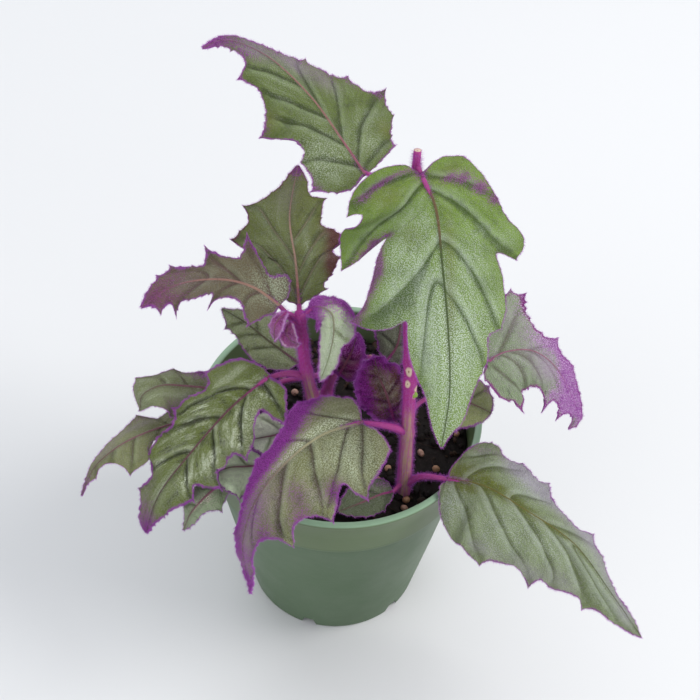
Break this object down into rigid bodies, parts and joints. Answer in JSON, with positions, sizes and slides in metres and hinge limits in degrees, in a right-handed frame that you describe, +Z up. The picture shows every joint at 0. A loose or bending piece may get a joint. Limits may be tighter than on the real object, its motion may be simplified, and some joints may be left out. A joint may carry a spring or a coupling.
{
  "type": "potted house plant",
  "caption": "Young house plant with upright purple stems and toothed, velvety green and purple leaves, growing in soil in a round green plastic nursery pot.",
  "frame": {"origin": "centre of the pot's base, on the surface it stands on", "axes": "+Z up, +Y away from the side that the picture shows, +X to its right"},
  "size_m": [0.1984, 0.1284, 0.2201],
  "materials": {
    "pot_plastic": "satin sage green plastic",
    "potting_mix": "moist black crumbs",
    "stem_skin": "hairy magenta",
    "velvet_leaf": "green velvet with purple edges",
    "young_velvet": "purple velvet"
  },
  "bodies": {
    "root": {"stem_right": "stem_skin", "stem_left": "stem_skin", "stem_back": "stem_skin", "pot": "pot_plastic", "soil": "potting_mix", "leaf_01": "velvet_leaf", "leaf_02": "velvet_leaf", "leaf_03": "velvet_leaf", "leaf_04": "velvet_leaf", "leaf_05": "young_velvet", "leaf_06": "velvet_leaf", "leaf_07": "velvet_leaf", "leaf_08": "velvet_leaf", "leaf_09": "velvet_leaf", "leaf_10": "velvet_leaf", "leaf_11": "velvet_leaf", "leaf_12": "velvet_leaf", "leaf_13": "velvet_leaf", "leaf_14": "velvet_leaf", "leaf_15": "velvet_leaf", "leaf_16": "velvet_leaf", "leaf_17": "young_velvet", "leaf_18": "velvet_leaf", "leaf_19": "velvet_leaf", "leaf_20": "velvet_leaf", "leaf_21": "young_velvet", "leaf_22": "young_velvet", "leaf_23": "velvet_leaf"}
  },
  "joints": []
}
